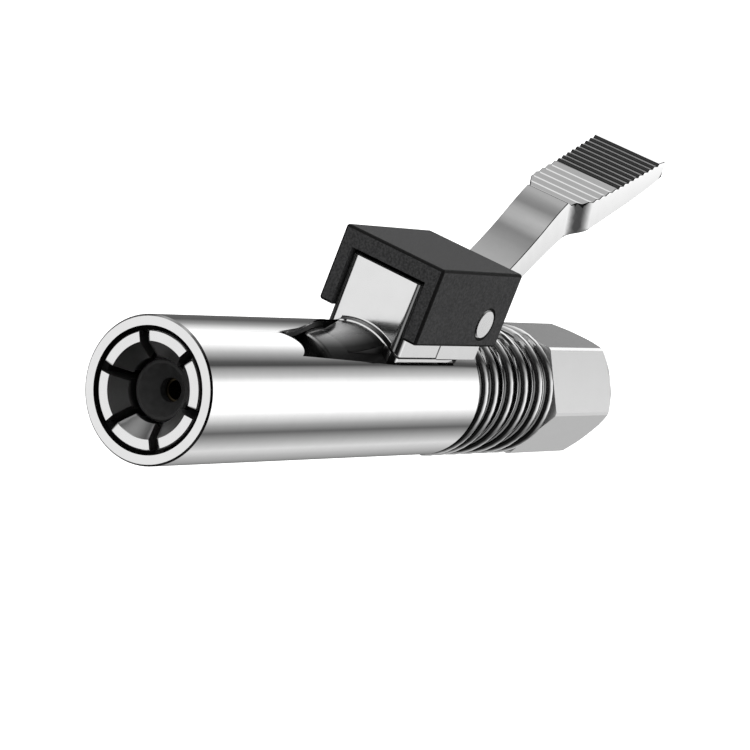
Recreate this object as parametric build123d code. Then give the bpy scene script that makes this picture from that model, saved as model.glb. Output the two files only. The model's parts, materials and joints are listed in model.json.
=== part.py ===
from build123d import *
from math import sqrt
import os

# Quick-release grease coupler: a hand-squeezed lever draws a spring-loaded sleeve back, and six jaws
# open round a grease nipple. Millimetres. +X runs from the nose to the inlet port, +Z to the lever,
# and the origin is the middle of the inlet port's mouth. Lengthwise places are stations, counted in
# millimetres from the nose and turned into x by at().

TOTAL_LENGTH = 116.2
SLEEVE_RADIUS = 9.5
SLEEVE_REAR = 71.0
BORE_RADIUS = 8.4
CORE_RADIUS = 8.3
CORE_FRONT = 32.4
CORE_GUIDE_RADIUS = 6.9
CORE_GUIDE_START = 69.0
SPIGOT_RADIUS = 5.0
SPIGOT_END = 104.0
HEX_FRONT = 96.2
HEX_ACROSS_FLATS = 17.4
HEX_EDGE_BEVEL = 0.3
INLET_RADIUS = 4.3
INLET_DEPTH = 10.0
PASSAGE_RADIUS = 2.0
WASHER_THICKNESS = 1.2

# Jaws: six sixty-degree segments that taper to the rear inside the sleeve's closing cone.
JAW_COUNT = 6
JAW_FACE = 0.2
JAW_RADIUS = 7.54
JAW_TAIL_RADIUS = 6.1
JAW_SLOT = 1.2
JAW_REAR = 26.0
JAW_CONE_START = 1.0
CONE_SLOPE = 0.2
CONE_CLEARANCE = 0.06

# Stem, outlet and check valve, all on the axis.
STEM_RADIUS = 4.2
STEM_FRONT = 8.0
STEM_FLANGE_RADIUS = 5.6
STEM_SPIGOT_RADIUS = 4.0
STEM_END = 44.0
HEEL_GROOVE = (23.8, 26.2)
CHAMBER_RADIUS = 2.25
SEAT_STATION = 19.5
ORIFICE_RADIUS = 1.1
BALL_RADIUS = 1.75
BALL_STATION = 19.24
SEAL_RADIUS = 4.0
SEAL_FRONT = 3.2

# Lever group: bracket, yoke and lug over the sleeve's top opening.
PIN_STATION, PIN_HEIGHT, PIN_RADIUS = 65.5, 13.5, 2.2
BRACKET_FRONT, BRACKET_REAR = 47.7, 71.3
BRACKET_HALF_WIDTH, BRACKET_INNER = 8.3, 6.2
BRACKET_TOP, BRACKET_ROOF, BRACKET_BOTTOM = 21.2, 18.5, 10.0
LUG_FRONT, LUG_REAR, LUG_TOP, LUG_HALF_WIDTH = 47.9, 59.3, 18.0, 6.1
YOKE_FRONT, YOKE_REAR, YOKE_BRIDGE = 59.36, 70.8, 61.0
EAR_INNER = 3.75
PIN_RIM = 0.3
FOOT_FRONT, FOOT_NEAR, FOOT_FAR = 47.2, 6.3, 3.9
SLOT_NEAR, SLOT_FAR, SLOT_REAR = 6.87, 4.4, 64.0
LEVER_HALF_WIDTH = 3.6
PAD_LEAN = 0.44
PAD_BROW = (86.2, 31.0)
TOE_HEIGHT, TOE_RADIUS = 7.1, 1.3

# Springs: wire radius, coil radius to the middle of the wire, and pitch.
MAIN_WIRE, MAIN_COIL, MAIN_PITCH = 1.25, 8.5, 4.45
CHECK_WIRE, CHECK_COIL, CHECK_PITCH = 0.2, 1.35, 1.1

TALL = 40.0


def at(station):
    return station - TOTAL_LENGTH


def turned(*outline):
    """A solid of revolution about X from (station, radius) corners."""
    corners = [(at(station), 0, radius) for station, radius in outline]
    return revolve(make_face(Polyline(*corners, close=True)), Axis.X)


def drum(start, end, radius):
    """A plain cylinder on the axis."""
    return turned((start, 0), (start, radius), (end, radius), (end, 0))


def block(start, end, y_low, y_high, z_low, z_high):
    """A rectangular block between two stations."""
    size = (end - start, y_high - y_low, z_high - z_low)
    middle = Pos(at((start + end) / 2), (y_low + y_high) / 2, (z_low + z_high) / 2)
    return middle * Box(*size)


def plan(outline, height=TALL, lean=0):
    """A closed outline of (station, y) edges in plan, raised by height and leaning forward."""
    return extrude(make_face(outline), height * sqrt(1 + lean**2), dir=(-lean, 0, 1))


def round_bar(station, height, radius, half_width):
    """A cylinder across the coupler, along Y."""
    return Pos(at(station), 0, height) * Rot(90, 0, 0) * Cylinder(radius, 2 * half_width)


def coil(start, end, wire, radius, pitch):
    """A helix of round wire on the axis, its wire's centre running from start to end."""
    helix = Helix(pitch, end - start, radius)
    section = Plane(helix @ 0, z_dir=helix % 0) * Circle(wire)
    return Pos(at(start), 0, 0) * Rot(0, 90, 0) * sweep(section, helix, is_frenet=True)


def main_spring():
    """The sleeve's spring, ground flat at both ends."""
    start, end = SLEEVE_REAR + 0.04, HEX_FRONT - 0.02
    wound = coil(start - MAIN_WIRE, end + MAIN_WIRE, MAIN_WIRE, MAIN_COIL, MAIN_PITCH)
    return wound & drum(start, end, MAIN_COIL + 2 * MAIN_WIRE)


def check_spring():
    """The light spring between the outlet nipple and the check ball."""
    ball_contact = BALL_STATION - sqrt(BALL_RADIUS**2 - CHECK_COIL**2)
    front, rear = 11.0 + CHECK_WIRE + 0.05, ball_contact - CHECK_WIRE - 0.1
    return coil(front, rear, CHECK_WIRE, CHECK_COIL, CHECK_PITCH)


def sleeve_window():
    """The top opening: a pointed front with a rounded near tab, and a slot back to the yoke."""
    tip = (at(21.1), -2.4)
    near_corner = (at(23.5), -5.95)
    far_corner = (at(45.0), SLOT_FAR)
    far_edge = Spline(far_corner, (at(40.0), 2.7), (at(34.8), 0.8), (at(28.3), -1.25), tip)
    tab = Spline(tip, (at(23.2), -3.1), (at(24.75), -4.6), near_corner)
    sides = Polyline(
        near_corner,
        (at(48.5), -SLOT_NEAR),
        (at(SLOT_REAR), -SLOT_NEAR),
        (at(SLOT_REAR), SLOT_FAR),
        far_corner,
    )
    return plan(far_edge + tab + sides)


def sleeve():
    """The outer sleeve, with the closing cone for the jaws just inside its nose."""
    cone_front, cone_rear = 1.6, 5.5
    edge = 0.25
    cone = [
        (s, JAW_RADIUS + CONE_CLEARANCE - CONE_SLOPE * (s - JAW_CONE_START))
        for s in (cone_front, cone_rear)
    ]
    body = turned(
        (0, 8.1),
        (0, SLEEVE_RADIUS - edge),
        (edge, SLEEVE_RADIUS),
        (SLEEVE_REAR - edge, SLEEVE_RADIUS),
        (SLEEVE_REAR, SLEEVE_RADIUS - edge),
        (SLEEVE_REAR, BORE_RADIUS),
        (6.7, BORE_RADIUS),
        cone[1],
        cone[0],
        (1.2, 8.1),
    )
    toe_window = block(YOKE_BRIDGE, 68.8, -3.8, 3.8, 0, TALL)
    return body - sleeve_window() - toe_window


def jaw():
    """The uppermost jaw; the others are turned copies."""
    outline = [
        (JAW_FACE, 6.15),
        (JAW_FACE, JAW_RADIUS - 0.15),
        (JAW_FACE + 0.15, JAW_RADIUS),
        (JAW_CONE_START, JAW_RADIUS),
        (8.2, JAW_TAIL_RADIUS),
        (JAW_REAR, JAW_TAIL_RADIUS),
        (JAW_REAR, 3.5),
        (JAW_REAR - 2.0, 3.5),
        (JAW_REAR - 2.0, 4.7),
        (2.9, 4.7),
        (2.5, 4.2),
        (2.0, 4.2),
    ]
    corners = [(at(station), 0, radius) for station, radius in outline]
    segment = revolve(make_face(Polyline(*corners, close=True)), Axis.X, 60).rotate(Axis.X, -30)
    slot = block(-1, 30, -JAW_SLOT / 2, JAW_SLOT / 2, 0, 12)
    return segment - slot.rotate(Axis.X, 30) - slot.rotate(Axis.X, -30)


def nose_stem():
    """The fixed stem inside the jaws: it holds their heels and the check valve."""
    body = turned(
        (STEM_FRONT, 2.6),
        (STEM_FRONT, STEM_RADIUS),
        (HEEL_GROOVE[0], STEM_RADIUS),
        (HEEL_GROOVE[0], 3.2),
        (HEEL_GROOVE[1], 3.2),
        (HEEL_GROOVE[1], STEM_FLANGE_RADIUS),
        (CORE_FRONT, STEM_FLANGE_RADIUS),
        (CORE_FRONT, STEM_SPIGOT_RADIUS),
        (38.0, STEM_SPIGOT_RADIUS),
        (38.0, 3.0),
        (40.0, 3.0),
        (40.0, STEM_SPIGOT_RADIUS),
        (STEM_END, STEM_SPIGOT_RADIUS),
        (STEM_END, PASSAGE_RADIUS),
        (30.9, PASSAGE_RADIUS),
        (30.0, ORIFICE_RADIUS),
        (SEAT_STATION + CHAMBER_RADIUS - ORIFICE_RADIUS, ORIFICE_RADIUS),
        (SEAT_STATION, CHAMBER_RADIUS),
        (11.0, CHAMBER_RADIUS),
        (11.0, 2.6),
    )
    return body


def core_tube():
    """The long tube that everything is built on, with a notch for the lever's toe."""
    body = turned(
        (CORE_FRONT, STEM_SPIGOT_RADIUS),
        (CORE_FRONT, 7.4),
        (CORE_FRONT + 0.3, 8.0),
        (CORE_FRONT + 0.9, CORE_RADIUS),
        (CORE_GUIDE_START, CORE_RADIUS),
        (CORE_GUIDE_START + 0.9, CORE_GUIDE_RADIUS),
        (HEX_FRONT, CORE_GUIDE_RADIUS),
        (HEX_FRONT, SPIGOT_RADIUS),
        (SPIGOT_END, SPIGOT_RADIUS),
        (SPIGOT_END, PASSAGE_RADIUS),
        (STEM_END, PASSAGE_RADIUS),
        (STEM_END, STEM_SPIGOT_RADIUS),
    )
    notch_front = PIN_STATION - TOE_RADIUS - 0.05
    notch_floor = TOE_HEIGHT - TOE_RADIUS - 0.4
    return body - block(notch_front, 68.0, -3.3, 3.3, notch_floor, TALL)


def hex_adapter():
    """The rear hexagon with the inlet port, flats up and down, chamfered at its rear corners."""
    corner = HEX_ACROSS_FLATS / sqrt(3)
    prism = Plane.YZ * RegularPolygon(corner, 6)
    body = Pos(at(HEX_FRONT), 0, 0) * extrude(prism, TOTAL_LENGTH - HEX_FRONT)
    body = chamfer(body.edges().filter_by(Axis.X), HEX_EDGE_BEVEL)
    turned_end = turned(
        (HEX_FRONT, 0),
        (HEX_FRONT, corner),
        (TOTAL_LENGTH - 2.0, corner),
        (TOTAL_LENGTH - 0.4, 8.9),
        (TOTAL_LENGTH, 8.4),
        (TOTAL_LENGTH, 0),
    )
    bores = (
        drum(HEX_FRONT, SPIGOT_END + WASHER_THICKNESS, SPIGOT_RADIUS)
        + drum(HEX_FRONT, TOTAL_LENGTH, PASSAGE_RADIUS)
        + drum(TOTAL_LENGTH - INLET_DEPTH, TOTAL_LENGTH, INLET_RADIUS)
    )
    return (body & turned_end) - bores


def foot(start, end, inner, outer):
    """A saddle on the core that fills the sleeve's slot; its front corners are round."""
    corner = 1.3
    outline = Rectangle(end - start, FOOT_NEAR + FOOT_FAR)
    if start == FOOT_FRONT:
        outline = fillet(outline.vertices().sort_by(Axis.X)[:2], corner)
    outline = Pos(at((start + end) / 2), (FOOT_FAR - FOOT_NEAR) / 2, 0) * outline
    ring = turned((start, inner), (start, outer), (end, outer), (end, inner))
    return ring & extrude(outline, TALL)


def lug_block():
    """The thrust lug brazed to the core: a rounded block on a saddle foot."""
    corner, over_sleeve = 1.25, SLEEVE_RADIUS + 0.08
    body = block(LUG_FRONT, LUG_REAR, -LUG_HALF_WIDTH, LUG_HALF_WIDTH, 0, LUG_TOP)
    body = fillet(body.edges().filter_by(Axis.Z).group_by(Axis.X)[0], corner)
    body = chamfer(body.faces().sort_by(Axis.Z)[-1].edges(), 0.2)
    body -= drum(LUG_FRONT - 1, LUG_REAR + 1, over_sleeve)
    blend = 0.65
    arc = ThreePointArc(
        (at(LUG_FRONT - blend), 0, over_sleeve),
        (at(LUG_FRONT - 0.29 * blend), 0, over_sleeve + 0.29 * blend),
        (at(LUG_FRONT), 0, over_sleeve + blend),
    )
    back = Polyline(
        (at(LUG_FRONT), 0, over_sleeve + blend),
        (at(LUG_FRONT + 0.5), 0, over_sleeve + blend),
        (at(LUG_FRONT + 0.5), 0, over_sleeve - 0.2),
        (at(LUG_FRONT - blend), 0, over_sleeve - 0.2),
        (at(LUG_FRONT - blend), 0, over_sleeve),
    )
    arch = revolve(make_face(arc + back), Axis.X) & block(
        FOOT_FRONT, LUG_REAR, -4.7, FOOT_FAR, 0, TALL
    )
    base = foot(FOOT_FRONT, LUG_REAR, CORE_RADIUS, over_sleeve + 0.02)
    rise = Spline((at(38.2), 0, CORE_RADIUS + 0.02), (at(42.0), 0, 8.6), (at(FOOT_FRONT + 0.1), 0, 9.4))
    under = Polyline(
        (at(FOOT_FRONT + 0.1), 0, 9.4),
        (at(FOOT_FRONT + 0.1), 0, CORE_RADIUS),
        (at(38.2), 0, CORE_RADIUS),
        (at(38.2), 0, CORE_RADIUS + 0.02),
    )
    reach = Polyline(
        (at(38.0), -4.2),
        (at(38.0), 0.7),
        (at(43.0), 2.5),
        (at(FOOT_FRONT + 0.2), 3.8),
        (at(FOOT_FRONT + 0.2), -4.2),
        close=True,
    )
    ramp = revolve(make_face(rise + under), Axis.X) & plan(reach)
    return body + arch + base + ramp


def lever_yoke():
    """The two ears welded to the sleeve: they carry the pin on each side of the lever."""
    body = block(YOKE_FRONT, YOKE_REAR, -BRACKET_INNER, BRACKET_INNER, 0, BRACKET_ROOF)
    body -= drum(YOKE_FRONT - 1, YOKE_REAR + 1, SLEEVE_RADIUS + 0.02)
    body += foot(YOKE_FRONT, SLOT_REAR, BORE_RADIUS + 0.05, SLEEVE_RADIUS + 0.04)
    body -= block(YOKE_BRIDGE, 75, -EAR_INNER, EAR_INNER, 0, TALL)
    return body - round_bar(PIN_STATION, PIN_HEIGHT, PIN_RADIUS, 12)


def bracket():
    """The black guard bracket, an inverted U over the yoke and the lug."""
    body = block(
        BRACKET_FRONT, BRACKET_REAR, -BRACKET_HALF_WIDTH, BRACKET_HALF_WIDTH, BRACKET_BOTTOM, BRACKET_TOP
    )
    body = fillet(body.edges(), 0.45)
    body -= block(BRACKET_FRONT - 1, BRACKET_REAR + 1, -BRACKET_INNER, BRACKET_INNER, 0, BRACKET_ROOF)
    body -= round_bar(PIN_STATION, PIN_HEIGHT, PIN_RADIUS, 12)
    sides = body.faces().sort_by(Axis.Y)
    rims = sides[0].edges().filter_by(GeomType.CIRCLE) + sides[-1].edges().filter_by(GeomType.CIRCLE)
    return chamfer(rims, PIN_RIM)


def pivot_pin():
    """The lever's pin, flush with the bracket, with small end chamfers."""
    body = round_bar(PIN_STATION, PIN_HEIGHT, PIN_RADIUS, BRACKET_HALF_WIDTH + 0.05)
    return chamfer(body.edges().filter_by(GeomType.CIRCLE), 0.2)


def pad_teeth():
    """The stepped thumb grip: gentle steps up from the neck first, then steep ones to the end."""
    gentle_start, steep_start, steep_end = (87.2, 30.75), (96.4, 34.6), (107.0, 39.4)
    corners = [PAD_BROW]
    for start, end, count, riser, climb in (
        (gentle_start, steep_start, 6, 0.45, 0.9),
        (steep_start, steep_end, 9, 0.14, 0.8),
    ):
        run, rise = (end[0] - start[0]) / count, (end[1] - start[1]) / count
        for step in range(count):
            station, height = start[0] + step * run, start[1] + step * rise
            corners.append((station, height))
            corners.append((station + riser * run, height + climb * rise))
    corners.append((107.8, steep_end[1] + 0.4))
    return [(at(station), 0, height) for station, height in corners]


def arc_run(points, count):
    """A smooth curve through (station, height) points, made as a run of short arcs."""
    curve = Spline(*[(at(station), 0, height) for station, height in points])
    steps = [step / count for step in range(count + 1)]
    return [
        ThreePointArc(curve @ start, curve @ ((start + end) / 2), curve @ end)
        for start, end in zip(steps, steps[1:])
    ]


def lever():
    """The lever: boss and toe inside the yoke, a rising neck and a flared, ridged thumb pad."""
    teeth = pad_teeth()
    neck_top = [(84.2, 28.93), (81.1, 25.2), (76.7, 20.6), (72.5, 17.1), (68.0, 15.6)]
    belly = [
        (68.6, 11.7),
        (73.5, 13.2),
        (77.5, 16.0),
        (81.2, 19.3),
        (87.1, 24.5),
        (95.6, 29.7),
        (108.4, 37.3),
    ]
    top = arc_run([PAD_BROW] + neck_top, 9)
    under = arc_run(belly, 9)
    ends = Polyline(*teeth, (at(belly[-1][0]), 0, belly[-1][1]))
    root = Line((at(belly[0][0]), 0, belly[0][1]), (at(neck_top[-1][0]), 0, neck_top[-1][1]))
    side = extrude(make_face(Curve() + top + under + [ends, root]), 7, both=True)
    shift = PAD_LEAN * 30.0
    flare_start, flare_end = at(86.5) + shift, at(91.5) + shift
    flare = Spline(
        (flare_start, LEVER_HALF_WIDTH),
        ((flare_start + flare_end) / 2, 4.5),
        (flare_end, 5.4),
        tangents=((1, 0), (1, 0.03)),
    )
    half = Polyline(
        (flare_end, 5.4),
        (at(111.9) + shift, 5.9),
        (at(113.1) + shift, 4.9),
        (at(113.1) + shift, 0),
        (at(40.0) + shift, 0),
        (at(40.0) + shift, LEVER_HALF_WIDTH),
        (flare_start, LEVER_HALF_WIDTH),
    )
    footprint = plan(flare + half, 60, PAD_LEAN)
    arm = side & (footprint + mirror(footprint, Plane.XZ))
    boss = round_bar(PIN_STATION, PIN_HEIGHT, 3.8, LEVER_HALF_WIDTH)
    toe = round_bar(PIN_STATION, TOE_HEIGHT, TOE_RADIUS, 3.0)
    shank = block(PIN_STATION - TOE_RADIUS, PIN_STATION + TOE_RADIUS, -3.0, 3.0, TOE_HEIGHT, PIN_HEIGHT)
    bore = round_bar(PIN_STATION, PIN_HEIGHT, PIN_RADIUS + 0.05, 12)
    return arm + boss + toe + shank - bore


def nozzle_seal():
    """The rubber face seal with its dished mouth."""
    return turned(
        (SEAL_FRONT, 3.75),
        (SEAL_FRONT + 0.25, SEAL_RADIUS),
        (STEM_FRONT, SEAL_RADIUS),
        (STEM_FRONT, 2.2),
        (6.6, 2.2),
        (6.6, 1.57),
        (5.3, 1.57),
        (SEAL_FRONT, 3.4),
    )


def outlet_nipple():
    """The plug that closes the valve chamber and holds the seal on its spigot."""
    return turned((6.6, 1.2), (6.6, 2.2), (STEM_FRONT, 2.2), (STEM_FRONT, 2.6), (11.0, 2.6), (11.0, 1.2))


def ring_washer():
    """The soft washer that seals the core in the hexagon."""
    end = SPIGOT_END + WASHER_THICKNESS
    return turned(
        (SPIGOT_END, PASSAGE_RADIUS),
        (SPIGOT_END, SPIGOT_RADIUS),
        (end, SPIGOT_RADIUS),
        (end, PASSAGE_RADIUS),
    )


def o_ring(station, major, minor):
    """A round-section ring about the axis."""
    return Pos(at(station), 0, 0) * Rot(0, 90, 0) * Torus(major, minor)


PARTS = {
    "core_tube": core_tube(),
    "hex_adapter": hex_adapter(),
    "inlet_washer": ring_washer(),
    "nose_stem": nose_stem(),
    "stem_o_ring": o_ring(39.0, 3.5, 0.49),
    "outlet_nipple": outlet_nipple(),
    "nozzle_seal": nozzle_seal(),
    "check_ball": Pos(at(BALL_STATION), 0, 0) * Sphere(BALL_RADIUS),
    "check_spring": check_spring(),
    "jaw_spring_ring": o_ring(24.9, JAW_TAIL_RADIUS + 0.8, 0.7),
    "lug_block": lug_block(),
    "main_spring": main_spring(),
    "sleeve": sleeve(),
    "lever_yoke": lever_yoke(),
    "bracket": bracket(),
    "pivot_pin": pivot_pin(),
    "lever": lever(),
}
FIRST_JAW = jaw()
for number in range(JAW_COUNT):
    PARTS[f"jaw_{number + 1}"] = FIRST_JAW.rotate(Axis.X, number * 360 / JAW_COUNT)

os.makedirs("parts", exist_ok=True)
for name, shape in PARTS.items():
    export_step(shape, f"parts/{name}.step")
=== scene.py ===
import json
import math

import bpy
from mathutils import Matrix, Vector


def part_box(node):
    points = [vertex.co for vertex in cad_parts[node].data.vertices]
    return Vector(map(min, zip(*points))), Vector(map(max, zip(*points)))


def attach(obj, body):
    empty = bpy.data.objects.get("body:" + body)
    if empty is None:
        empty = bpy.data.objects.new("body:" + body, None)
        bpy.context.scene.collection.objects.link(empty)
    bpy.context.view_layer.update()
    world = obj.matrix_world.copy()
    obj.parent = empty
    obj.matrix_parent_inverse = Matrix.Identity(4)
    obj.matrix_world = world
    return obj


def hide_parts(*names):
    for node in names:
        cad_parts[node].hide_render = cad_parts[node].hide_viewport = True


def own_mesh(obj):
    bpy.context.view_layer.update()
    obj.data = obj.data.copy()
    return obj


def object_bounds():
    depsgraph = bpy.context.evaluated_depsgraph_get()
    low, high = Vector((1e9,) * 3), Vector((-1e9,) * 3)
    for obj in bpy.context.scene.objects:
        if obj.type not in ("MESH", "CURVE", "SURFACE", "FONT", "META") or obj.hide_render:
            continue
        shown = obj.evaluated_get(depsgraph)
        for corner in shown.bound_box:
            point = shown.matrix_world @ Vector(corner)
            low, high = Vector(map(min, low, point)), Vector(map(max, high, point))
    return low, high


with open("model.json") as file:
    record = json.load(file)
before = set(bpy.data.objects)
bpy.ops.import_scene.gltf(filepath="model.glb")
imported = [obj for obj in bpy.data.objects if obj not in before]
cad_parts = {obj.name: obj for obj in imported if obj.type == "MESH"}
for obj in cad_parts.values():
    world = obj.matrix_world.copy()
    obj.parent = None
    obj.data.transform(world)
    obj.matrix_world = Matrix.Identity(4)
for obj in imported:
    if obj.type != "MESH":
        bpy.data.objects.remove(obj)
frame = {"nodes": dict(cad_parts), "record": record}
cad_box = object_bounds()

# Lengths are metres, in the frame: +X runs from the nose to the inlet, and the axis is y = z = 0.
NODES = frame["nodes"]
NOSE_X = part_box("sleeve")[0][0]

# Where painted shade and painted highlights start on one node, as stations behind the nose or
# distances from the axis.
RIM_RADIUS = 0.0092
RIM_DEPTH = 0.0003
JAW_LIP = 0.00026
RAMP_END = 0.04788
RAMP_RADIUS = 0.0103
HEX_SKIN_RADIUS = 0.0085
CORE_SHADE_Y = -0.0016

# Edge breaks, and the angles from which an edge is broken or kept crisp.
FINE_EDGE = 0.00008
LEVER_EDGE = 0.0001
EDGE_ANGLE = math.radians(50)
CRISP_ANGLE = math.radians(27)

# The springs: wire and coil radius, pitch, and how far each one closes up.
MAIN_WIRE, MAIN_COIL, MAIN_PITCH, MAIN_PHASE = 0.00125, 0.0085, 0.0047, math.radians(200)
CHECK_WIRE, CHECK_COIL, CHECK_PITCH, CHECK_PHASE = 0.0002, 0.00135, 0.0011, 0.0
CLOSED_TURNS = 1.0
STEPS_PER_TURN, WIRE_SIDES = 44, 14


# ---------------------------------------------------------------- node helpers
def new_material(name):
    """An empty material with a Principled shader; returns (material, nodes, links, shader)."""
    material = bpy.data.materials.new(name)
    material.use_nodes = True
    nodes, links = material.node_tree.nodes, material.node_tree.links
    shader = nodes["Principled BSDF"]
    return material, nodes, links, shader


def position(nodes):
    """Object coordinates: metres in the row frame, because every object sits at the origin."""
    return nodes.new("ShaderNodeTexCoord").outputs["Object"]


def stretched(nodes, links, scale):
    """Object coordinates scaled by (x, y, z)."""
    mapping = nodes.new("ShaderNodeMapping")
    mapping.inputs["Scale"].default_value = scale
    links.new(position(nodes), mapping.inputs["Vector"])
    return mapping.outputs["Vector"]


def noise(nodes, links, vector, scale, detail=4.0, roughness=0.55):
    """A noise value from about 0.3 to 0.7; scale is in features per metre."""
    texture = nodes.new("ShaderNodeTexNoise")
    texture.inputs["Scale"].default_value = scale
    texture.inputs["Detail"].default_value = detail
    texture.inputs["Roughness"].default_value = roughness
    links.new(vector, texture.inputs["Vector"])
    return texture.outputs["Fac"]


def remap(nodes, links, value, low, high):
    """A noise value spread over low to high."""
    node = nodes.new("ShaderNodeMapRange")
    node.inputs["From Min"].default_value = 0.3
    node.inputs["From Max"].default_value = 0.7
    node.inputs["To Min"].default_value = low
    node.inputs["To Max"].default_value = high
    links.new(value, node.inputs["Value"])
    return node.outputs["Result"]


def bump(nodes, links, height, strength, distance, shader):
    """Fine relief on the shader's normal, distance high in metres."""
    node = nodes.new("ShaderNodeBump")
    node.inputs["Strength"].default_value = strength
    node.inputs["Distance"].default_value = distance
    links.new(height, node.inputs["Height"])
    links.new(node.outputs["Normal"], shader.inputs["Normal"])


def tinted(nodes, links, value, dark, light, shader):
    """Base colour that runs from dark to light with value."""
    ramp = nodes.new("ShaderNodeValToRGB")
    ramp.color_ramp.elements[0].position = 0.35
    ramp.color_ramp.elements[0].color = (*dark, 1)
    ramp.color_ramp.elements[1].position = 0.65
    ramp.color_ramp.elements[1].color = (*light, 1)
    links.new(value, ramp.inputs["Fac"])
    links.new(ramp.outputs["Color"], shader.inputs["Base Color"])


# ------------------------------------------------------------------ materials
def polished(
    name,
    level,
    rough_low,
    rough_high,
    stretch=(1, 8, 8),
    scratch=0.02,
    warm=(1, 1, 1),
    metallic=1.0,
):
    """Plated or polished metal of one brightness: faint clouding and fine polishing lines."""
    material, nodes, links, shader = new_material(name)
    shader.inputs["Metallic"].default_value = metallic
    cloud = noise(nodes, links, stretched(nodes, links, (1, 1, 1)), 450, 4)
    low, high = level * 0.988, level * 1.012
    tinted(nodes, links, cloud, [low * w for w in warm], [high * w for w in warm], shader)
    lines = noise(nodes, links, stretched(nodes, links, stretch), 900, 5, 0.65)
    links.new(remap(nodes, links, lines, rough_low, rough_high), shader.inputs["Roughness"])
    if scratch:
        bump(nodes, links, lines, scratch, 0.00002, shader)
    return material


def darkened(material, node_input, threshold, width, level, rough):
    """Fades the material to a dark painted shade, with its own roughness, where the value of
    node_input is under threshold.
    """
    nodes, links = material.node_tree.nodes, material.node_tree.links
    shader = nodes["Principled BSDF"]
    mask = nodes.new("ShaderNodeMapRange")
    mask.inputs["From Min"].default_value = threshold - width
    mask.inputs["From Max"].default_value = threshold + width
    links.new(node_input, mask.inputs["Value"])
    for name, value in (("Base Color", (level, level, level, 1)), ("Roughness", rough)):
        was = shader.inputs[name].links[0].from_socket
        mix = nodes.new("ShaderNodeMix")
        mix.data_type = "RGBA" if name == "Base Color" else "FLOAT"
        kind = [socket for socket in mix.inputs if socket.enabled]
        kind[1].default_value = value
        links.new(mask.outputs["Result"], kind[0])
        links.new(was, kind[2])
        out = [socket for socket in mix.outputs if socket.enabled][0]
        links.new(out, shader.inputs[name])
    return material


def axis_distance(material, front):
    """Distance from the coupler's axis, in metres; ahead of front everything counts as far out."""
    nodes, links = material.node_tree.nodes, material.node_tree.links
    flat = nodes.new("ShaderNodeVectorMath")
    flat.operation = "MULTIPLY"
    flat.inputs[1].default_value = (0, 1, 1)
    links.new(position(nodes), flat.inputs[0])
    length = nodes.new("ShaderNodeVectorMath")
    length.operation = "LENGTH"
    links.new(flat.outputs[0], length.inputs[0])
    ahead = nodes.new("ShaderNodeMath")
    ahead.operation = "GREATER_THAN"
    ahead.inputs[1].default_value = -front
    links.new(toward_nose(material), ahead.inputs[0])
    total = nodes.new("ShaderNodeMath")
    total.operation = "ADD"
    links.new(length.outputs["Value"], total.inputs[0])
    links.new(ahead.outputs[0], total.inputs[1])
    return total.outputs[0]


def toward_nose(material):
    """Minus the lengthwise coordinate, in metres: largest at the nose."""
    nodes, links = material.node_tree.nodes, material.node_tree.links
    parts = nodes.new("ShaderNodeSeparateXYZ")
    links.new(position(nodes), parts.inputs[0])
    minus = nodes.new("ShaderNodeMath")
    minus.operation = "MULTIPLY"
    minus.inputs[1].default_value = -1.0
    links.new(parts.outputs["X"], minus.inputs[0])
    return minus.outputs[0]


def powder_coat(name, dark=(0.026, 0.026, 0.027), light=(0.066, 0.066, 0.067)):
    """Black powder coat: a fine orange-peel grain with a dull sheen."""
    material, nodes, links, shader = new_material(name)
    grain = noise(nodes, links, stretched(nodes, links, (1, 1, 1)), 3200, 3, 0.6)
    tinted(nodes, links, grain, dark, light, shader)
    links.new(remap(nodes, links, grain, 0.55, 0.72), shader.inputs["Roughness"])
    shader.inputs["Specular IOR Level"].default_value = 0.2
    bump(nodes, links, grain, 0.5, 0.00005, shader)
    return material


def rubber(name, dark, light):
    """Moulded rubber with a slightly uneven, dull skin."""
    material, nodes, links, shader = new_material(name)
    skin = noise(nodes, links, stretched(nodes, links, (1, 1, 1)), 1400, 4)
    tinted(nodes, links, skin, dark, light, shader)
    links.new(remap(nodes, links, skin, 0.6, 0.8), shader.inputs["Roughness"])
    bump(nodes, links, skin, 0.2, 0.00004, shader)
    return material


def shaded_core():
    """The core tube: bright along its top, with a painted shade that darkens it towards its near side
    (-Y).
    """
    material = polished("core_painted_shade", 0.50, 0.14, 0.2, (10, 1, 1), 0)
    nodes, links = material.node_tree.nodes, material.node_tree.links
    parts = nodes.new("ShaderNodeSeparateXYZ")
    links.new(position(nodes), parts.inputs[0])
    # Painted shade: past CORE_SHADE_Y the tube fades to near black.
    darkened(material, parts.outputs["Y"], CORE_SHADE_Y, 0.0018, 0.04, 0.4)
    return material


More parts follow.
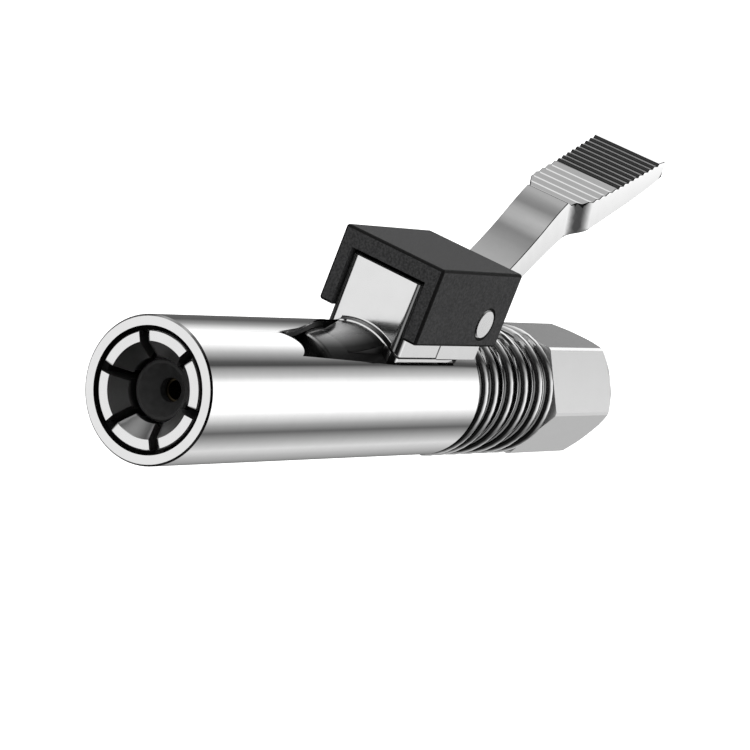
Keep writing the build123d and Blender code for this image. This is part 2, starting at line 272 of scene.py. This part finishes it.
def materials():
    """The finish of every slot, and two more that finish_nodes puts on edges."""
    found = {
        "chrome_sleeve": polished("chrome_sleeve", 0.92, 0.04, 0.06, scratch=0),
        "chrome_block": polished("chrome_block", 0.90, 0.11, 0.15, (4, 4, 4), 0),
        "lever_polished": polished("lever_polished", 0.92, 0.04, 0.06, (2, 9, 2), 0),
        "jaw_nickel": polished("jaw_nickel", 0.92, 0.06, 0.10, (4, 4, 4), 0),
        "steel_satin": polished("steel_satin", 0.64, 0.14, 0.18, (1, 12, 12), 0.004, metallic=0.72),
        # Painted shade for the lever's edge bevels: near black.
        "lever_edge_shade": polished("lever_edge_shade", 0.05, 0.2, 0.3, scratch=0),
        # Painted highlight for the hexagon's bevels: brighter and glossier than the satin steel of
        # the flats.
        "hex_edge_highlight": polished("hex_edge_highlight", 0.95, 0.05, 0.08, scratch=0),
        "steel_dark": polished("steel_dark", 0.40, 0.20, 0.28, (10, 1, 1), 0.02),
        "steel_bright": polished("steel_bright", 0.84, 0.05, 0.08),
        "pin_steel": polished("pin_steel", 0.84, 0.16, 0.22, (4, 4, 4), 0.01),
        "spring_dark": polished("spring_dark", 0.74, 0.08, 0.11, (3, 3, 3), 0),
        "bracket_black": powder_coat("bracket_black"),
        "rubber_black": rubber("rubber_black", (0.028, 0.028, 0.028), (0.04, 0.04, 0.04)),
        "brass_plain": polished("brass_plain", 0.05, 0.3, 0.42, (6, 2, 2), warm=(1.0, 0.8, 0.5)),
        "copper_soft": polished("copper_soft", 0.70, 0.3, 0.42, (4, 4, 4), warm=(1.0, 0.57, 0.38)),
    }
    sleeve, jaw = found["chrome_sleeve"], found["jaw_nickel"]
    # Painted shade: the sleeve's bore behind the nose rim and the jaws behind their front lip are
    # darkened.
    darkened(sleeve, axis_distance(sleeve, NOSE_X + RIM_DEPTH), RIM_RADIUS, 0.00006, 0.06, 0.45)
    darkened(jaw, toward_nose(jaw), -NOSE_X - JAW_LIP, 0.00002, 0.62, 0.3)
    return found


# --------------------------------------------------------------- world, floor
# Light across a lengthwise cylinder, from its lower edge (-180 degrees) through the camera side (0)
# to its upper edge (180 degrees), as the angle of the reflected ray about the X axis.
STUDIO_BANDS = (
    (-180, 0.08), (-128, 0.50), (-108, 0.74), (-90, 0.44), (-71, 0.13), (-58, 0.38), (-42, 0.90),
    (-34, 1.25), (8, 1.25), (20, 0.66), (32, 0.33), (38, 0.07), (44, 0.10), (60, 0.50), (72, 1.0),
    (78, 1.25), (102, 1.25), (112, 0.80), (124, 0.34), (140, 0.11), (180, 0.14),
)
# The same angle for rays that leave sideways or toward the nose: a dark room with one overhead panel.
ROOM_BANDS = (
    (-180, 0.04), (-60, 0.02), (40, 0.03), (70, 0.2), (82, 1.0), (104, 1.0), (118, 0.2), (180, 0.05),
)
# The overhead panel's level along X, from the nose end (-1) to the inlet end (1).
PANEL_ALONG = (
    (-1.0, 0.04), (-0.50, 0.04), (-0.42, 0.55), (-0.355, 0.66), (-0.31, 0.45), (-0.26, 0.24),
    (-0.20, 0.30), (-0.12, 0.44), (0.2, 0.44), (1.0, 0.6),
)
# The panel straight ahead of the nose, from the near side (-1) to the far side (1).
FRONT_PANEL = (
    (-1.0, 0.03), (-0.62, 0.04), (-0.5, 0.26), (-0.3, 0.26), (-0.18, 0.03), (0.10, 0.03),
    (0.2, 0.84), (1.0, 0.84),
)
# The direction, about X, from which the angles of STUDIO_BANDS and ROOM_BANDS are measured.
CAMERA_SIDE = math.atan2(0.4091, -0.9125)
# The X part of a ray's direction at which the panel ahead gives way to the room, the room to the
# studio (a faint start, then a slow rise), and the studio to the room again straight behind.
AHEAD_ENDS = (-0.80, -0.74)
STUDIO_STARTS, STUDIO_RISES, STUDIO_FAINT = (0.07, 0.10), (0.13, 0.76), 0.12
STUDIO_ENDS = (0.955, 0.925)


def add_world():
    """A studio: white to the camera and to matt surfaces, banded panels to what is polished."""
    world = bpy.data.worlds.new("studio")
    bpy.context.scene.world = world
    world.use_nodes = True
    nodes, links = world.node_tree.nodes, world.node_tree.links
    nodes.clear()
    output = nodes.new("ShaderNodeOutputWorld")
    direction = nodes.new("ShaderNodeTexCoord").outputs["Generated"]
    parts = nodes.new("ShaderNodeSeparateXYZ")
    links.new(direction, parts.inputs[0])

    def math_node(operation, a, b=None, c=None):
        """A maths node on numbers or sockets."""
        node = nodes.new("ShaderNodeMath")
        node.operation = operation
        for i, value in enumerate((a, b, c)):
            if value is None:
                continue
            if isinstance(value, (int, float)):
                node.inputs[i].default_value = value
            else:
                links.new(value, node.inputs[i])
        return node.outputs[0]

    def ramp_of(bands, share, start=-180, span=360):
        """Grey levels at the bands' stops; share is 0 at start and 1 at start + span."""
        ramp = nodes.new("ShaderNodeValToRGB")
        ramp.color_ramp.interpolation = "LINEAR"
        elements = ramp.color_ramp.elements
        for i, (stop, level) in enumerate(bands):
            place = (stop - start) / span
            element = elements[i] if i < 2 else elements.new(place)
            element.position = place
            element.color = (level, level, level, 1)
        links.new(share, ramp.inputs["Fac"])
        return ramp.outputs["Color"]

    def step(value, low, high):
        """0 at low, 1 at high, and a straight run between them."""
        node = nodes.new("ShaderNodeMapRange")
        node.inputs["From Min"].default_value = low
        node.inputs["From Max"].default_value = high
        links.new(value, node.inputs["Value"])
        return node.outputs["Result"]

    def blend(factor, first, second):
        """The first grey at factor 0, the second at factor 1."""
        mix = nodes.new("ShaderNodeMix")
        mix.data_type = "RGBA"
        links.new(factor, mix.inputs["Factor"])
        for name, value in (("A", first), ("B", second)):
            if isinstance(value, float):
                mix.inputs[name].default_value = (value, value, value, 1)
            else:
                links.new(value, mix.inputs[name])
        return mix.outputs["Result"]

    def turned_part(operation, along_y, along_z):
        """One part of the ray's direction after a turn about X."""
        y_part = math_node("MULTIPLY", sideways, along_y)
        z_part = math_node("MULTIPLY", skyward, along_z)
        return math_node(operation, y_part, z_part)

    rearward, sideways, skyward = (parts.outputs[axis] for axis in "XYZ")
    c, s = math.cos(CAMERA_SIDE), math.sin(CAMERA_SIDE)
    angle = math_node("ARCTAN2", turned_part("SUBTRACT", s, c), turned_part("ADD", c, s))
    share = math_node("MULTIPLY_ADD", angle, 1 / (2 * math.pi), 0.5)
    along = math_node("MULTIPLY_ADD", rearward, 0.5, 0.5)
    panels = math_node("MULTIPLY", ramp_of(ROOM_BANDS, share), ramp_of(PANEL_ALONG, along, -1, 2))
    across = math_node("MULTIPLY_ADD", sideways, 0.5, 0.5)
    room = blend(step(rearward, *AHEAD_ENDS), ramp_of(FRONT_PANEL, across, -1, 2), panels)
    rise = math_node("MULTIPLY_ADD", step(rearward, *STUDIO_RISES), 1 - STUDIO_FAINT, STUDIO_FAINT)
    opening = math_node("MULTIPLY", step(rearward, *STUDIO_STARTS), rise)
    behind = step(rearward, *STUDIO_ENDS)
    light = blend(math_node("MULTIPLY", opening, behind), room, ramp_of(STUDIO_BANDS, share))

    glossy = nodes.new("ShaderNodeBackground")
    links.new(light, glossy.inputs["Color"])
    plain = nodes.new("ShaderNodeBackground")
    rays = nodes.new("ShaderNodeLightPath")
    overhead = math_node("MULTIPLY_ADD", skyward, 0.45, 0.8)
    soft = math_node("ADD", overhead, math_node("MULTIPLY", rearward, 0.1))
    backdrop = blend(rays.outputs["Is Camera Ray"], soft, 1.0)
    links.new(backdrop, plain.inputs["Color"])
    choose = nodes.new("ShaderNodeMixShader")
    links.new(rays.outputs["Is Glossy Ray"], choose.inputs["Fac"])
    links.new(plain.outputs[0], choose.inputs[1])
    links.new(glossy.outputs[0], choose.inputs[2])
    links.new(choose.outputs[0], output.inputs["Surface"])


def add_floor():
    """A pale sweep well under the coupler, which is held by its inlet port."""
    lo, hi = cad_box
    mesh = bpy.data.meshes.new("floor")
    size, height = 4.0, lo[2] - 0.12
    mesh.from_pydata(
        [(-size, -size, height), (size, -size, height), (size, size, height), (-size, size, height)],
        [],
        [(0, 1, 2, 3)],
    )
    floor = bpy.data.objects.new("floor", mesh)
    bpy.context.scene.collection.objects.link(floor)
    material, _, _, shader = new_material("pale_floor")
    shader.inputs["Base Color"].default_value = (0.9, 0.9, 0.9, 1)
    shader.inputs["Roughness"].default_value = 1.0
    shader.inputs["Specular IOR Level"].default_value = 0.0
    shader.inputs["Emission Color"].default_value = (1, 1, 1, 1)
    shader.inputs["Emission Strength"].default_value = 0.55
    mesh.materials.append(material)
    floor.visible_glossy = False
    floor.visible_diffuse = False


# --------------------------------------------------------------------- camera
def add_camera():
    """A long lens in front of the nose, above and to the lever's left, rolled about its own axis."""
    data = bpy.data.cameras.new("camera")
    data.sensor_width = 36.0
    data.lens = 152.9
    data.clip_start, data.clip_end = 0.01, 20
    camera = bpy.data.objects.new("camera", data)
    bpy.context.scene.collection.objects.link(camera)
    place = Vector((NOSE_X - 0.3300, -0.1988, 0.0912))
    right = Vector((0.49161, -0.79460, 0.35628))
    up = Vector((0.0, 0.40913, 0.91247))
    back = right.cross(up)
    turn = Matrix((right, up, back)).transposed()
    camera.matrix_world = Matrix.Translation(place) @ turn.to_4x4()
    bpy.context.scene.camera = camera


# ------------------------------------------------------------------ CAD nodes
def edge_break(thing, width=FINE_EDGE, edge_slot=-1):
    """Welded seams, a fine edge break in the finish of edge_slot, and flat faces that stay flat."""
    weld = thing.modifiers.new("weld", "WELD")
    weld.merge_threshold = 0.000001
    bevel = thing.modifiers.new("bevel", "BEVEL")
    bevel.width = width
    bevel.segments = 2
    bevel.limit_method = "ANGLE"
    bevel.angle_limit = EDGE_ANGLE
    bevel.use_clamp_overlap = width == FINE_EDGE
    bevel.material = edge_slot
    crisp = thing.modifiers.new("crisp", "EDGE_SPLIT")
    crisp.split_angle = CRISP_ANGLE
    flat = thing.modifiers.new("flat", "WEIGHTED_NORMAL")
    flat.mode = "FACE_AREA"
    flat.weight = 80
    flat.keep_sharp = True


def second_finish(name, finish, wanted):
    """Puts a second finish on those polygons of a node for which wanted(polygon) is true."""
    mesh = NODES[name].data
    mesh.materials.append(finish)
    for polygon in mesh.polygons:
        polygon.material_index = int(wanted(polygon))


def axis_radius(polygon):
    """Distance of a polygon's middle from the coupler's axis."""
    return Vector(polygon.center).yz.length


def on_ramp(polygon):
    """The lug's ramp and arch, which lie low and ahead, but not its upright front face."""
    ahead = polygon.center.x < NOSE_X + RAMP_END
    return ahead and axis_radius(polygon) < RAMP_RADIUS and polygon.normal.x > -0.95


def on_bracket_edge(polygon):
    """Any polygon that doesn't face along an axis: the rounded edges and the pin holes' rims, which
    get a painted edge shade.
    """
    return max(abs(part) for part in polygon.normal) < 0.985


def on_hex_edge(polygon):
    """The narrow bevels between the hexagon's flats, which face 30 and 90 degrees off Y."""
    around = math.degrees(math.atan2(polygon.normal.z, polygon.normal.y)) % 60
    sideways = abs(polygon.normal.x) < 0.05
    return axis_radius(polygon) > HEX_SKIN_RADIUS and sideways and abs(around - 30) > 12


def finish_nodes(finishes):
    """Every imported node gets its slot's finish, smooth curved faces and a fine edge break."""
    slots = {part["node"]: part["material_slot"] for part in frame["record"]["subparts"]}
    for name, node in NODES.items():
        node.data.materials.clear()
        node.data.materials.append(finishes[slots[name]])
        for polygon in node.data.polygons:
            polygon.use_smooth = True
            polygon.material_index = 0
        if name == "lever":
            # The lever's bevels take a painted dark edge shade.
            node.data.materials.append(finishes["lever_edge_shade"])
            edge_break(node, LEVER_EDGE, 1)
        else:
            # The bracket's and the lug's bevels take their second slot: painted edge shade on the
            # bracket, the core's painted shade on the lug.
            edge_break(node, edge_slot=1 if name in ("bracket", "lug_block") else -1)
    painted_shade_core = shaded_core()
    NODES["core_tube"].data.materials[0] = painted_shade_core
    # Painted shade: the lug's ramp and arch take the core's darkened material.
    second_finish("lug_block", painted_shade_core, on_ramp)
    # Painted shade: the bracket's rounded edges and pin-hole rims are coloured near black.
    painted_edge_shade = powder_coat("bracket_painted_edge_shade", (0.004,) * 3, (0.010,) * 3)
    second_finish("bracket", painted_edge_shade, on_bracket_edge)
    # Painted highlight: the hexagon's bevels get the brighter steel.
    second_finish("hex_adapter", finishes["hex_edge_highlight"], on_hex_edge)


def wire_centres(low, high, wire, pitch, phase):
    """(x, angle) along the wire: one closed turn, the open turns at pitch, one closed turn."""
    closed = CLOSED_TURNS
    turns_open = (high - low - 2 * closed * 2 * wire) / pitch
    total = turns_open + 2 * closed
    steps = int(total * STEPS_PER_TURN)
    centres = []
    for i in range(steps + 1):
        turn = total * i / steps
        if turn < closed:
            x = low + turn * 2 * wire
        elif turn > total - closed:
            x = high - (total - turn) * 2 * wire
        else:
            x = low + closed * 2 * wire + (turn - closed) * pitch
        centres.append((x, phase + 2 * math.pi * turn))
    return centres


def wound_spring(name, start, end, wire, radius, pitch, finish, phase):
    """A round-wire compression spring with closed ends, from start to end on the axis."""
    mesh = bpy.data.meshes.new(name)
    centres = wire_centres(start + wire, end - wire, wire, pitch, phase)
    steps, sides = len(centres) - 1, WIRE_SIDES
    points, faces = [], []
    for x, angle in centres:
        for j in range(sides):
            around = 2 * math.pi * j / sides
            r = radius + wire * math.cos(around)
            place = min(max(x + wire * math.sin(around), start), end)
            points.append((place, r * math.sin(angle), r * math.cos(angle)))
    for i in range(steps):
        for j in range(sides):
            k = (j + 1) % sides
            faces.append((i * sides + j, i * sides + k, (i + 1) * sides + k, (i + 1) * sides + j))
    faces.append(tuple(range(sides - 1, -1, -1)))
    faces.append(tuple(range(steps * sides, (steps + 1) * sides)))
    mesh.from_pydata(points, [], faces)
    mesh.update()
    for polygon in mesh.polygons:
        polygon.use_smooth = len(polygon.vertices) == 4
    mesh.materials.append(finish)
    spring = bpy.data.objects.new(name, mesh)
    bpy.context.scene.collection.objects.link(spring)
    return spring


def add_springs(finishes):
    """The two springs again, as smoothly wound wire carried on the core's body."""
    slot = "spring_dark"
    lo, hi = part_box("main_spring")
    main = wound_spring(
        "main_spring_wound",
        lo[0],
        hi[0],
        MAIN_WIRE,
        MAIN_COIL,
        MAIN_PITCH,
        finishes[slot],
        MAIN_PHASE,
    )
    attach(main, "core")
    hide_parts("main_spring")
    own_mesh(main)
    lo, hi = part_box("check_spring")
    valve = wound_spring(
        "check_spring_wound",
        lo[0],
        hi[0],
        CHECK_WIRE,
        CHECK_COIL,
        CHECK_PITCH,
        finishes[slot],
        CHECK_PHASE,
    )
    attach(valve, "core")
    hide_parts("check_spring")
    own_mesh(valve)


add_camera()
add_world()
add_floor()
FINISHES = materials()
finish_nodes(FINISHES)
add_springs(FINISHES)
view = bpy.context.scene.view_settings
view.view_transform = "Standard"
view.look = "None"
